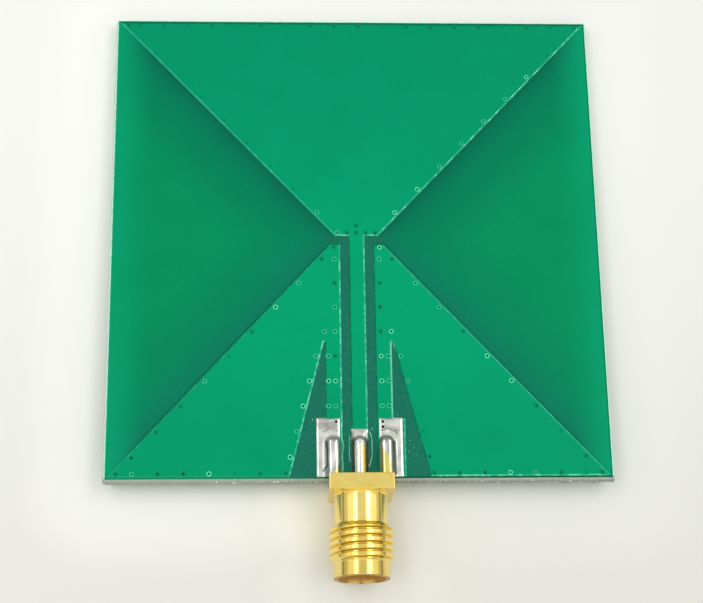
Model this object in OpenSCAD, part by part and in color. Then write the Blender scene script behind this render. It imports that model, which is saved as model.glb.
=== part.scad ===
// Printed bow-tie dipole antenna on a square board, fed by a threaded coaxial jack on the board's edge.
// The origin is on the jack's axis, at its mouth. +Y runs from the mouth to the far edge of the board,
// +X to the right and +Z up, out of the front of the board. Sizes are in millimetres.

/* [Board] */
// Side of the board across the feed line
board_w = 50; // [40:0.5:70]
// Side of the board along the feed line
board_l = 50; // [40:0.5:70]
// Thickness of the bare laminate
board_t = 1.6; // [1.2:0.1:2.4]
// Depth of the score groove that was cut into each face before the board was broken out
score_depth = 0.5; // [0.1:0.05:0.55]
// Slope of the groove's wall from the upright
score_angle = 15; // [10:1:30]
// Thickness of the copper on each face
copper_t = 0.035; // [0.018:0.001:0.07]
// Thickness of the solder mask on top of the copper
mask_on_copper = 0.025; // [0.015:0.005:0.04]
// How far the mask on the laminate stands above the copper's face
mask_step = 0.005; // [0.002:0.001:0.01]

/* [Dipole arms] */
// Distance of the copper from the board's outline
copper_margin = 0.3; // [0.25:0.05:1]
// Gap between the tips of the two arms
arm_gap = 0.9; // [0.5:0.05:2]
// Width of the upper arm's blunt tip
upper_tip_w = 4.4; // [3.6:0.1:7]
// Width of the lower arm's blunt tip
lower_tip_w = 5.4; // [4.8:0.1:8]

/* [Feed line] */
// Width of the feed strip
strip_w = 1.65; // [1.4:0.05:2]
// Gap between the strip and the ground on each side
strip_gap = 0.85; // [0.4:0.05:1]
// Width of the ground finger beside each gap
finger_w = 1.68; // [1.5:0.02:2.2]
// Length of the tapered slot beside each finger, from the board's edge
slot_l = 14.4; // [11:0.1:18]
// Width of the tapered slot at the board's edge
slot_w = 3.6; // [3:0.1:5]

/* [Soldering pads] */
// Distance of the ground pads from the middle of the feed strip
pad_in = 1.94; // [1.8:0.02:2.05]
// Width of a ground pad
pad_w = 2.3; // [1.8:0.05:2.6]
// End of the ground pads, from the board's edge
pad_l = 6.2; // [5.5:0.1:6.8]
// End of the strip's pad, from the board's edge
strip_pad_l = 5.1; // [4.8:0.1:6]
// Copper that the mask covers around a ground pad
pad_cover = 0.3; // [0.1:0.05:0.4]

/* [Vias] */
// Drilled diameter of a via
via_d = 0.38; // [0.3:0.02:0.42]
// Open diameter inside the plating
via_bore = 0.3; // [0.15:0.01:0.32]
// Spacing of the vias along the arms
via_pitch = 2.58; // [2:0.02:3.4]
// Spacing of the vias along the lower edge of the board
edge_pitch = 2.5; // [2:0.02:3.4]
// Distance of the vias from the arms' slanted edges, measured across the board
via_slant_in = 0.6; // [0.45:0.05:0.8]
// Distance of the vias from the copper's straight edges
via_edge_in = 0.36; // [0.3:0.02:0.6]
// Distance of the vias from the outer edge of the tapered slots
via_slot_in = 0.45; // [0.35:0.05:0.7]
// Distance of the vias from the edges of the ground finger, on the gap's side
via_finger_in = 0.62; // [0.5:0.02:0.7]
// Distance of the vias from the edges of the ground finger, on the slot's side
via_finger_out = 0.36; // [0.3:0.02:0.45]
// Distance from the lower arm's tip to its first full row of vias
via_row_start = 1.63; // [1.3:0.05:2.4]
// Open vias in the left ground pad
left_pad_vias = 1; // [0:1:2]
// Open vias in the right ground pad
right_pad_vias = 2; // [0:1:2]
// Spacing of the open vias in a pad
pad_via_pitch = 0.54; // [0.48:0.02:0.7]

/* [Jack] */
// Side of the square flange
flange_w = 6.35; // [6:0.05:7.5]
// Thickness of the flange
flange_t = 1.6; // [1:0.05:3]
// Bevel on the flange's corners
flange_bevel = 0.15; // [0.05:0.05:0.3]
// Diameter of the plain neck between the flange and the thread
neck_d = 5.25; // [5.1:0.05:5.5]
// Length of the plain neck
neck_l = 2.9; // [1:0.1:6]
// Outside diameter of the thread
thread_d = 6.3; // [6.1:0.05:6.35]
// Length of the threaded stretch with the bevels at its ends
thread_l = 3.9; // [2.5:0.1:8]
// Diameter of the plain rim in front of the thread
rim_d = 5.5; // [5.3:0.05:5.8]
// Length of the plain rim
rim_l = 1.35; // [0.6:0.05:2]
// Bevel on the rim's outer edge
rim_bevel = 0.12; // [0.05:0.01:0.25]
// Diameter of the recess in the mouth
mouth_d = 4.6; // [4.4:0.05:4.8]
// Depth of the recess in the mouth
mouth_l = 1.9; // [1:0.05:2.5]
// Diameter of the insulator
insulator_d = 4.1; // [3.6:0.05:4.15]
// Height of the jack's axis above the front copper
axis_rise = 0.1; // [0:0.05:0.3]

/* [Legs and centre contact] */
// Width of a leg
leg_w = 1.06; // [0.8:0.02:1.1]
// Height of a leg
leg_h = 1; // [0.7:0.05:1.2]
// Length of the legs on the board
leg_l = 4; // [3:0.1:4.6]
// Diameter of the centre contact
contact_d = 1.27; // [1.2:0.01:1.4]
// Length of the contact's tail on the feed strip
tail_l = 4; // [3:0.1:4.4]
// Diameter of the contact's socket
socket_d = 0.94; // [0.9:0.01:1]
// Depth of the contact's socket
socket_l = 3; // [2:0.1:4]
// Width of the slits that make the socket springy
slit_w = 0.14; // [0.08:0.01:0.16]
// Depth of the slits
slit_l = 2; // [1:0.1:2.5]

/* [Solder] */
// Thickness of the solder under the legs and on the pads
solder_t = 0.05; // [0.035:0.005:0.1]
// Reach of a solder fillet beside a leg
fillet_w = 0.5; // [0.3:0.05:0.8]
// Height of a solder fillet on a leg
fillet_h = 0.55; // [0.3:0.05:0.65]

/* [Hidden] */
$fn = 48;

laminate_colour = [0.78, 0.80, 0.70];
copper_colour = [0.80, 0.46, 0.28];
mask_colour = [0.03, 0.58, 0.40];
gold_colour = [0.90, 0.76, 0.40];
insulator_colour = [0.94, 0.93, 0.90];
solder_colour = [0.76, 0.77, 0.78];

// Cutters run this far past what they cut, and joined shapes this far into each other
past = 0.2;
into = 0.04;

// Levels along the jack's axis
thread_y = rim_l;
neck_y = thread_y + thread_l;
flange_y = neck_y + neck_l;
edge_y = flange_y + flange_t;

// Levels through the board, from the front down
front_z = -axis_rise;
laminate_top = front_z - copper_t;
laminate_bottom = laminate_top - board_t;
back_z = laminate_bottom - copper_t;
middle_z = (front_z + back_z) / 2;
stack_t = front_z - back_z;
mask_on_laminate = copper_t + mask_step;

// The score grooves leave the two faces a little smaller than the outline
score_in = score_depth * tan(score_angle);
half_w = board_w / 2;

// Outlines on the board run from the middle of its jack-side edge: [across, along]
corner_x = half_w - copper_margin;
arm_top = board_l - copper_margin;
upper_tip = board_l / 2 + arm_gap / 2;
lower_tip = board_l / 2 - arm_gap / 2;
ground_in = strip_w / 2 + strip_gap;
slot_in = ground_in + finger_w;
pad_out = pad_in + pad_w;

// Half-widths of the tapered shapes at a given distance along the board
function upper_half(v) =
    upper_tip_w / 2 + (corner_x - upper_tip_w / 2) * (v - upper_tip) / (arm_top - upper_tip);
function lower_half(v) =
    lower_tip_w / 2 + (corner_x - lower_tip_w / 2) * (lower_tip - v) / (lower_tip - copper_margin);
function slot_out(v) = slot_in + slot_w * (slot_l - v) / slot_l;

// A row of places from one end to another at a fixed pitch, closed by one at the far end
function row(from, to, pitch) =
    let (span = abs(to - from), way = sign(to - from), last = floor((span - 2 * via_d) / pitch))
    concat([for (i = [0:last]) from + way * i * pitch], [to]);

// Vias of the upper arm: along its slanted edges, along the top and across its tip
top_row = arm_top - via_edge_in;
tip_row = upper_tip + via_edge_in;
tip_reach = upper_half(tip_row) - via_slant_in;
upper_slant_vias = [
    for (v = [upper_tip + via_pitch : via_pitch : arm_top - via_pitch])
    for (side = [-1, 1])
    [side * (upper_half(v) - via_slant_in), v]
];
top_reach = upper_half(top_row) - via_slant_in;
top_vias = [for (x = row(top_reach, -top_reach, via_pitch)) [x, top_row]];
tip_vias = concat(
    [for (i = [-2:2]) [i * tip_reach / 2, tip_row]],
    [[0, tip_row + 2 * via_d]]
);
upper_vias = concat(upper_slant_vias, top_vias, tip_vias);

// Vias of the right ground half, which the left one mirrors
first_row = lower_tip - via_row_start;
low_row = copper_margin + via_edge_in;
low_end = lower_half(low_row) - via_slant_in;
ground_rows = [for (v = [first_row : -via_pitch : low_row + via_pitch / 2]) v];
finger_rows = [for (v = ground_rows) if (v > pad_l + pad_cover + via_d) v];
slot_rows = [for (v = ground_rows) if (v < slot_l - via_d) v];
beside_slot = [for (v = finger_rows) if (v < slot_l + via_pitch / 2) v];
tip_via_v = lower_tip - via_edge_in;
ground_vias = concat(
    [[(ground_in + lower_half(tip_via_v)) / 2, tip_via_v]],
    [for (v = ground_rows) [lower_half(v) - via_slant_in, v]],
    [for (v = finger_rows) [ground_in + via_finger_in, v]],
    [for (v = beside_slot) [slot_in - (v < slot_l ? via_finger_out : 0), v]],
    [for (v = slot_rows) [slot_out(v) + via_slot_in, v]],
    [for (x = row(slot_out(low_row) + via_slot_in, low_end, edge_pitch)) [x, low_row]]
);

// Open vias in a ground pad, from its inner far corner back
pad_via_x = pad_in + via_edge_in;
function pad_vias(count) = [
    for (i = [0:1:count - 1]) [pad_via_x, pad_l - via_edge_in - i * pad_via_pitch]
];

// Puts outlines on the board at a given level
module on_board(z) {
    translate([0, edge_y, z]) children();
}

// Turns over to the back of the board
module on_back() {
    translate([0, 0, 2 * middle_z]) mirror([0, 0, 1]) children();
}

// Mirrors to the left half of the board
module on_left() {
    mirror([1, 0, 0]) children();
}

// A straight round bar along the jack's axis
module bar_y(y, length, d) {
    translate([0, y, 0]) rotate([-90, 0, 0]) cylinder(h = length, d = d);
}

// Round cutters through the whole board
module drill(places, d) {
    for (p = places)
        on_board(back_z - past)
            translate(p) cylinder(h = stack_t + 2 * past, d = d, $fn = 24);
}

module all_drills() {
    drill(upper_vias, via_d);
    drill(ground_vias, via_d);
    drill(pad_vias(right_pad_vias), via_d);
    on_left() drill(ground_vias, via_d);
    on_left() drill(pad_vias(left_pad_vias), via_d);
}

// Plated barrels from face to face
module barrels(places) {
    difference() {
        for (p = places)
            on_board(back_z) translate(p) cylinder(h = stack_t, d = via_d, $fn = 24);
        drill(places, via_bore);
    }
}

// Outline of the board's scored faces
module face_outline() {
    translate([-half_w + score_in, score_in]) square([board_w - 2 * score_in, board_l - 2 * score_in]);
}

module upper_arm_outline() {
    polygon([
        [-corner_x, arm_top],
        [-upper_tip_w / 2, upper_tip],
        [upper_tip_w / 2, upper_tip],
        [corner_x, arm_top]
    ]);
}

module strip_outline() {
    translate([-strip_w / 2, copper_margin]) square([strip_w, upper_tip + past - copper_margin]);
}

// Right ground half: half of the lower arm, with the tapered slot and the pad's tab that fills its mouth
module ground_outline() {
    difference() {
        polygon([
            [ground_in, copper_margin],
            [corner_x, copper_margin],
            [lower_tip_w / 2, lower_tip],
            [ground_in, lower_tip]
        ]);
        polygon([[slot_in, -past], [slot_out(-past), -past], [slot_in, slot_l]]);
    }
    translate([slot_in - past, copper_margin])
        square([pad_out + pad_cover - slot_in + past, pad_l + pad_cover - copper_margin]);
}

module lower_arm_outline() {
    polygon([
        [-corner_x, copper_margin],
        [corner_x, copper_margin],
        [lower_tip_w / 2, lower_tip],
        [-lower_tip_w / 2, lower_tip]
    ]);
}

module front_copper_outline() {
    upper_arm_outline();
    strip_outline();
    ground_outline();
    on_left() ground_outline();
}

module back_copper_outline() {
    upper_arm_outline();
    lower_arm_outline();
}

// Openings of the mask over the soldering pads
module ground_pad_outline() {
    translate([pad_in, copper_margin]) square([pad_w, pad_l - copper_margin]);
}

module strip_pad_outline() {
    translate([-strip_w / 2, copper_margin]) square([strip_w, strip_pad_l - copper_margin]);
}

// A board edge's section: two scored slopes and the broken web between them
module scored_section(half) {
    polygon([
        [-half + score_in, laminate_top],
        [half - score_in, laminate_top],
        [half, laminate_top - score_depth],
        [half, laminate_bottom + score_depth],
        [half - score_in, laminate_bottom],
        [-half + score_in, laminate_bottom],
        [-half, laminate_bottom + score_depth],
        [-half, laminate_top - score_depth]
    ]);
}

module substrate() {
    color(laminate_colour)
    difference() {
        intersection() {
            translate([0, edge_y + board_l + past, 0])
                rotate([90, 0, 0]) linear_extrude(board_l + 2 * past) scored_section(half_w);
            translate([-half_w - past, edge_y + board_l / 2, 0])
                rotate([90, 0, 90]) linear_extrude(board_w + 2 * past) scored_section(board_l / 2);
        }
        all_drills();
    }
}

// One copper foil on the front of the laminate, drilled for its vias
module front_foil() {
    color(copper_colour)
    difference() {
        on_board(laminate_top) linear_extrude(copper_t) children();
        all_drills();
    }
}

module back_foil() {
    color(copper_colour)
    difference() {
        on_back() on_board(laminate_top) linear_extrude(copper_t) children();
        all_drills();
    }
}

module front_upper_arm() {
    front_foil() {
        upper_arm_outline();
        strip_outline();
    }
}

module front_right_ground() {
    front_foil() ground_outline();
}

module front_left_ground() {
    front_foil() on_left() ground_outline();
}

module back_upper_arm() {
    back_foil() upper_arm_outline();
}

module back_lower_arm() {
    back_foil() lower_arm_outline();
}

// Mask over both the laminate and the raised copper, with a step at every copper edge
module front_solder_mask() {
    color(mask_colour)
    on_board(laminate_top)
    difference() {
        union() {
            linear_extrude(mask_on_laminate) face_outline();
            linear_extrude(copper_t + mask_on_copper) front_copper_outline();
        }
        translate([0, 0, -past]) linear_extrude(past + copper_t) front_copper_outline();
        linear_extrude(copper_t + mask_on_copper + past) {
            strip_pad_outline();
            ground_pad_outline();
            on_left() ground_pad_outline();
        }
    }
}

module back_solder_mask() {
    color(mask_colour)
    on_back()
    on_board(laminate_top)
    difference() {
        union() {
            linear_extrude(mask_on_laminate) face_outline();
            linear_extrude(copper_t + mask_on_copper) back_copper_outline();
        }
        translate([0, 0, -past]) linear_extrude(past + copper_t) back_copper_outline();
        linear_extrude(copper_t + mask_on_copper + past) {
            ground_pad_outline();
            on_left() ground_pad_outline();
        }
    }
}

module upper_arm_vias() {
    color(copper_colour) barrels(upper_vias);
}

module right_ground_vias() {
    color(copper_colour) barrels(concat(ground_vias, pad_vias(right_pad_vias)));
}

module left_ground_vias() {
    color(copper_colour) on_left() barrels(concat(ground_vias, pad_vias(left_pad_vias)));
}

// Right front leg, round at its tip, lying on its film of solder
leg_x = flange_w / 2 - leg_w / 2;
leg_tip_y = edge_y + leg_l - leg_w / 2;
leg_root_y = edge_y - flange_t / 2;
module leg() {
    translate([leg_x, 0, front_z + solder_t]) {
        translate([-leg_w / 2, leg_root_y, 0]) cube([leg_w, leg_tip_y - leg_root_y, leg_h]);
        translate([0, leg_tip_y, 0]) cylinder(h = leg_h, d = leg_w);
    }
}

module legs() {
    leg();
    on_left() leg();
    on_back() leg();
    on_back() on_left() leg();
}

// Half section of the turned barrel: [radius, distance from the mouth]
module barrel_section() {
    rim_r = rim_d / 2;
    neck_r = neck_d / 2;
    thread_r = thread_d / 2;
    polygon([
        [0, 0],
        [rim_r - rim_bevel, 0],
        [rim_r, rim_bevel],
        [rim_r, thread_y],
        [thread_r, thread_y + thread_r - rim_r],
        [thread_r, neck_y - thread_r + neck_r],
        [neck_r, neck_y],
        [neck_r, flange_y + flange_t / 2],
        [0, flange_y + flange_t / 2]
    ]);
}

module flange_outline() {
    reach = flange_w / 2;
    flat = reach - flange_bevel;
    polygon([
        [flat, reach], [-flat, reach], [-reach, flat], [-reach, -flat],
        [-flat, -reach], [flat, -reach], [reach, -flat], [reach, flat]
    ]);
}

module jack_body() {
    color(gold_colour)
    difference() {
        union() {
            rotate([-90, 0, 0]) rotate_extrude() barrel_section();
            translate([0, edge_y, 0]) rotate([90, 0, 0]) linear_extrude(flange_t) flange_outline();
            legs();
        }
        bar_y(-past, mouth_l + past, mouth_d);
        bar_y(0, edge_y + past, insulator_d);
    }
}

module insulator() {
    color(insulator_colour)
    difference() {
        bar_y(mouth_l, edge_y - mouth_l, insulator_d);
        bar_y(0, edge_y + past, contact_d);
    }
}

// Tail of the centre contact: a round bar with a round tip, milled flat where it lies on the strip
tail_tip_y = edge_y + tail_l - contact_d / 2;
module tail() {
    intersection() {
        union() {
            bar_y(edge_y - into, tail_tip_y - edge_y + into, contact_d);
            translate([0, tail_tip_y, 0]) sphere(d = contact_d);
        }
        translate([-contact_d, edge_y - into, front_z + solder_t])
            cube([2 * contact_d, tail_l + contact_d, contact_d]);
    }
}

module centre_contact() {
    color(gold_colour)
    difference() {
        union() {
            bar_y(mouth_l, edge_y - mouth_l, contact_d);
            tail();
        }
        bar_y(mouth_l - past, socket_l + past, socket_d);
        for (turn = [45, 135])
            rotate([0, turn, 0])
                translate([-contact_d, mouth_l - past, -slit_w / 2])
                    cube([2 * contact_d, slit_l + past, slit_w]);
    }
}

// Solder that fills the corner along a leg and round its tip, down to the pad
module leg_fillet() {
    reach = leg_w / 2 + fillet_w;
    inside = leg_w / 2 - into;
    translate([leg_x, leg_tip_y, front_z]) {
        rotate([90, 0, 0])
            linear_extrude(leg_tip_y - edge_y)
                polygon([[-reach, 0], [reach, 0], [inside, fillet_h], [-inside, fillet_h]]);
        cylinder(h = fillet_h, r1 = reach, r2 = inside);
    }
}

module tail_fillet() {
    reach = strip_w / 2;
    inside = contact_d / 2 - 4 * into;
    translate([0, tail_tip_y, front_z]) {
        rotate([90, 0, 0])
            linear_extrude(tail_tip_y - edge_y)
                polygon([[-reach, 0], [reach, 0], [inside, contact_d / 4], [-inside, contact_d / 4]]);
        cylinder(h = contact_d / 4, r1 = reach, r2 = inside);
    }
}

// Solder of the right front leg, kept to its pad and open at the pad's vias
module ground_solder(via_count) {
    color(solder_colour)
    difference() {
        union() {
            on_board(front_z) linear_extrude(solder_t) ground_pad_outline();
            intersection() {
                leg_fillet();
                on_board(front_z) linear_extrude(fillet_h + past) ground_pad_outline();
            }
        }
        leg();
        drill(pad_vias(via_count), via_bore);
    }
}

module front_right_solder() {
    ground_solder(right_pad_vias);
}

module front_left_solder() {
    on_left() ground_solder(left_pad_vias);
}

module back_right_solder() {
    on_back() ground_solder(right_pad_vias);
}

module back_left_solder() {
    on_back() on_left() ground_solder(left_pad_vias);
}

module centre_solder() {
    color(solder_colour)
    difference() {
        union() {
            on_board(front_z) linear_extrude(solder_t) strip_pad_outline();
            intersection() {
                tail_fillet();
                on_board(front_z) linear_extrude(contact_d) strip_pad_outline();
            }
        }
        tail();
    }
}

substrate();
front_upper_arm();
front_left_ground();
front_right_ground();
back_upper_arm();
back_lower_arm();
front_solder_mask();
back_solder_mask();
upper_arm_vias();
left_ground_vias();
right_ground_vias();
jack_body();
insulator();
centre_contact();
centre_solder();
front_left_solder();
front_right_solder();
back_left_solder();
back_right_solder();
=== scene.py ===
import math
import random
import bmesh
import bpy
from mathutils import Matrix, Vector


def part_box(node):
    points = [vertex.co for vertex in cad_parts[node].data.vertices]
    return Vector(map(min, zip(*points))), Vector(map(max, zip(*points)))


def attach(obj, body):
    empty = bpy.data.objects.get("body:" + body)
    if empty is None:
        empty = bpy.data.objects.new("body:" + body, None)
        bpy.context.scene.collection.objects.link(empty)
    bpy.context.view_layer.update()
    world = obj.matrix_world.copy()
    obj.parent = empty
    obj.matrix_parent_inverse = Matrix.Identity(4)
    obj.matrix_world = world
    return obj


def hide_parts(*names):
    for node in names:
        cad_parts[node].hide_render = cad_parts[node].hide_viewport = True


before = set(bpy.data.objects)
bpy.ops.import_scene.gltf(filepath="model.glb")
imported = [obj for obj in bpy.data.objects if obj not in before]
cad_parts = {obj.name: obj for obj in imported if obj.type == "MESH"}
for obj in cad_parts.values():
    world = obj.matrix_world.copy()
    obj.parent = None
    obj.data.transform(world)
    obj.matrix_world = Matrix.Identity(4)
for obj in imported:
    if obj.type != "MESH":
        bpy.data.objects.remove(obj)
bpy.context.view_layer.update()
mm = 0.001  # pieces are modelled in millimetres and settled into metres
hair = 0.001  # what is nearer than this counts as level
weld = 0.0005  # points nearer than this become one
chance = random.Random(11)


# modelling helpers
def deselectAll():
    if bpy.context.object and bpy.context.object.mode == "EDIT":
        bpy.ops.object.mode_set(mode="OBJECT")
    bpy.ops.object.select_all(action="DESELECT")


def makeActive(piece):
    deselectAll()
    piece.select_set(True)
    bpy.context.view_layer.objects.active = piece


def pickAll():
    bpy.ops.mesh.select_all(action="SELECT")


def startEdit(piece):
    makeActive(piece)
    bpy.ops.object.mode_set(mode="EDIT")
    pickAll()


def endEdit():
    bpy.ops.object.mode_set(mode="OBJECT")
    return bpy.context.object


def pick(kind, test):  # selects faces, edges or points of the mesh in edit mode by a test
    bpy.ops.mesh.select_mode(type=kind)
    bpy.ops.mesh.select_all(action="DESELECT")
    mesh = bmesh.from_edit_mesh(bpy.context.edit_object.data)
    group = {"FACE": mesh.faces, "EDGE": mesh.edges, "VERT": mesh.verts}[kind]
    for part in [part for part in group if test(part)]:
        part.select_set(True)
    mesh.select_flush_mode()
    bmesh.update_edit_mesh(bpy.context.edit_object.data)


def paint(skin, test):  # gives the faces that pass a test one material slot
    pick("FACE", test)
    bpy.context.object.active_material_index = skin
    bpy.ops.object.material_slot_assign()


def cutAll(spot, way, **settings):  # cuts the whole mesh in edit mode by a plane
    pickAll()
    bpy.ops.mesh.bisect(plane_co=spot, plane_no=way, **settings)


def faceOut():
    pickAll()
    bpy.ops.mesh.normals_make_consistent(inside=False)


def lift(rise, falloff, reach):  # the selected points, and less and less of what lies near them
    bpy.ops.transform.translate(
        value=(0, 0, rise), use_proportional_edit=True, proportional_edit_falloff=falloff,
        proportional_size=reach)


def named(name):
    piece = bpy.context.object
    piece.name = piece.data.name = name
    return piece


def applyModifier(piece, kind, **settings):
    makeActive(piece)
    step = piece.modifiers.new(kind.lower(), kind)
    for key, value in settings.items():
        setattr(step, key, value)
    bpy.ops.object.modifier_apply(modifier=step.name)


def combine(piece, tool, operation):  # boolean with a tool that is used up
    applyModifier(piece, "BOOLEAN", operation=operation, object=tool, solver="EXACT")
    bpy.data.objects.remove(tool)


def joinAll(pieces, name):
    makeActive(pieces[0])
    for piece in pieces:
        piece.select_set(True)
    bpy.ops.object.join()
    return named(name)


def copyAt(source, spot, turn=0.0, size=1.0):
    twin = source.copy()
    twin.data = source.data.copy()
    bpy.context.scene.collection.objects.link(twin)
    twin.data.transform(Matrix.Translation(spot) @ Matrix.Rotation(turn, 4, "Z") @ Matrix.Scale(size, 4))
    return twin


def startFrom(primitive, **settings):  # adds a mesh primitive and leaves it in edit mode
    deselectAll()
    primitive(location=(0, 0, 0), **settings)
    bpy.ops.object.mode_set(mode="EDIT")


def addBlock(name, low, high):  # a box between two corners
    startFrom(bpy.ops.mesh.primitive_cube_add, size=1)
    bpy.ops.transform.resize(value=[b - a for a, b in zip(low, high)])
    bpy.ops.transform.translate(value=[(a + b) / 2 for a, b in zip(low, high)])
    endEdit()
    return named(name)


def addBar(name, radius, start, end, axis, sides=48):  # a round bar along one axis
    length = (Vector(end) - Vector(start)).length
    startFrom(bpy.ops.mesh.primitive_cylinder_add, radius=radius, depth=length, vertices=sides)
    if axis == "Y":
        bpy.ops.transform.rotate(value=math.pi / 2, orient_axis="X", center_override=(0, 0, 0))
    bpy.ops.transform.translate(value=(Vector(start) + Vector(end)) / 2)
    endEdit()
    return named(name)


def drawOutline(spots):  # a line of points, drawn by extruding one, left in edit mode
    startFrom(bpy.ops.mesh.primitive_plane_add, size=0.1)
    bpy.ops.mesh.select_mode(type="VERT")
    pickAll()
    bpy.ops.mesh.merge(type="CENTER")
    bpy.ops.transform.translate(value=spots[0])
    for here, there in zip(spots, spots[1:]):
        step = [b - a for a, b in zip(here, there)]
        bpy.ops.mesh.extrude_region_move(TRANSFORM_OT_translate={"value": step})
    pickAll()


def turned(name, outline, steps, axis):  # an outline of radius and distance, spun about an axis
    drawOutline([(r, d, 0) if axis == "Y" else (r, 0, d) for r, d in outline])
    spinAxis = (0, 1, 0) if axis == "Y" else (0, 0, 1)
    bpy.ops.mesh.spin(steps=steps, angle=2 * math.pi, center=(0, 0, 0), axis=spinAxis)
    pickAll()
    bpy.ops.mesh.remove_doubles(threshold=weld)
    faceOut()
    endEdit()
    return named(name)


def dress(piece, finish):  # one finish all over
    piece.data.materials.clear()
    piece.data.materials.append(finish)


def smoothBy(piece, degrees):
    makeActive(piece)
    bpy.ops.object.shade_smooth_by_angle(angle=math.radians(degrees))


def settle(piece, slotName, *nodes):  # into metres, onto the part's body, in place of its nodes
    makeActive(piece)
    piece.scale = (mm, mm, mm)
    bpy.ops.object.transform_apply(location=True, rotation=True, scale=True)
    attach(piece, "root")
    if nodes:
        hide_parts(*nodes)
    print("piece", piece.name, len(piece.data.polygons), "faces")


# finish helpers
def tint(red, green, blue):  # a screen colour, 0 to 255, as the linear colour that nodes take
    def linear(level):
        level = level / 255
        return level / 12.92 if level < 0.04045 else ((level + 0.055) / 1.055) ** 2.4
    return linear(red), linear(green), linear(blue), 1.0


class Wire:
    def __init__(self, maker, socket):
        self.maker, self.socket = maker, socket

    def calc(self, operation, left, right):
        return self.maker.node("ShaderNodeMath", {"operation": operation}, {0: left, 1: right})

    def __add__(self, other):
        return self.calc("ADD", self, other)

    def __sub__(self, other):
        return self.calc("SUBTRACT", self, other)

    def __rsub__(self, other):
        return self.calc("SUBTRACT", other, self)

    def __mul__(self, other):
        return self.calc("MULTIPLY", self, other)

    def __truediv__(self, other):
        return self.calc("DIVIDE", self, other)

    def __rtruediv__(self, other):
        return self.calc("DIVIDE", other, self)

    def __abs__(self):
        return self.calc("ABSOLUTE", self, 0.0)

    __radd__, __rmul__ = __add__, __mul__  # either order gives the same


class NodeMaker:
    def __init__(self, tree):
        self.tree = tree

    def node(self, kind, settings=None, inputs=None, output=0):
        made = self.tree.nodes.new(kind)
        for key, value in (settings or {}).items():
            if key == "stops":
                ramp = made.color_ramp
                ramp.elements[0].position, ramp.elements[0].color = value[0]
                ramp.elements[1].position, ramp.elements[1].color = value[-1]
                for spot, colour in value[1:-1]:
                    ramp.elements.new(spot).color = colour
            else:
                setattr(made, key, value)
        for key, value in (inputs or {}).items():
            if isinstance(value, Wire):
                self.tree.links.new(value.socket, made.inputs[key])
            else:
                made.inputs[key].default_value = value
        return Wire(self, made.outputs[output])

    def axes(self, spot):  # x, y and z of a place
        return [self.node("ShaderNodeSeparateXYZ", None, {0: spot}, i) for i in range(3)]

    def stretched(self, spot, x, y, z):
        return self.node("ShaderNodeVectorMath", {"operation": "MULTIPLY"}, {0: spot, 1: (x, y, z)})

    def noise(self, spot, scale, detail=2.0, rough=0.5, warp=0.0):
        return self.node("ShaderNodeTexNoise", None, {
            "Vector": spot, "Scale": scale, "Detail": detail, "Roughness": rough, "Distortion": warp})

    def ease(self, value, low, high):  # 0 to 1, smooth, between two values
        return self.node("ShaderNodeMapRange", {"interpolation_type": "SMOOTHSTEP"}, {
            "Value": value, "From Min": low, "From Max": high})

    def fade(self, value, low, high, first, second):  # from one colour to another between two values
        return self.mix(self.ease(value, low, high), first, second)

    def mix(self, share, first, second, way="MIX"):
        settings = {"data_type": "RGBA", "blend_type": way}
        return self.node("ShaderNodeMix", settings, {0: share, 6: first, 7: second}, 2)

    def least(self, first, second):
        return self.node("ShaderNodeMath", {"operation": "MINIMUM"}, {0: first, 1: second})

    def most(self, first, second):
        return self.node("ShaderNodeMath", {"operation": "MAXIMUM"}, {0: first, 1: second})

    def ramp(self, share, *stops):  # screen colours at places from 0 to 1
        stops = [(place, tint(*colour)) for place, *colour in stops]
        return self.node("ShaderNodeValToRGB", {"stops": stops}, {0: share})

    def stroke(self, x, y, start, end, width):  # 1 on a straight mark, fading to 0 at its width
        run = Vector(end) - Vector(start)
        share = ((x - start[0]) * run.x + (y - start[1]) * run.y) / run.length_squared
        share = self.most(self.least(share, 1.0), 0.0)
        offX, offY = x - start[0] - share * run.x, y - start[1] - share * run.y
        return 1 - self.ease(offX * offX + offY * offY, 0.0, width * width)

    def bump(self, height, strength, distance):
        return self.node("ShaderNodeBump", None, {
            "Strength": strength, "Distance": distance * mm, "Height": height})


class Finish(NodeMaker):
    def __init__(self, name, **fixed):
        self.material = bpy.data.materials.new(name)
        self.material.use_nodes = True
        super().__init__(self.material.node_tree)
        self.shader = self.tree.nodes["Principled BSDF"]
        for key, value in fixed.items():  # what is the same all over is set on the shader itself
            self.shader.inputs[key.replace("_", " ")].default_value = value

    def spot(self):  # place on the piece, in millimetres
        here = self.node("ShaderNodeTexCoord", output=3)
        return self.node("ShaderNodeVectorMath", {"operation": "SCALE"}, {0: here, 3: 1 / mm})

    def give(self, **wires):  # what changes over the surface
        for key, wire in wires.items():
            self.tree.links.new(wire.socket, self.shader.inputs[key.replace("_", " ")])
        return self.material


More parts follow.
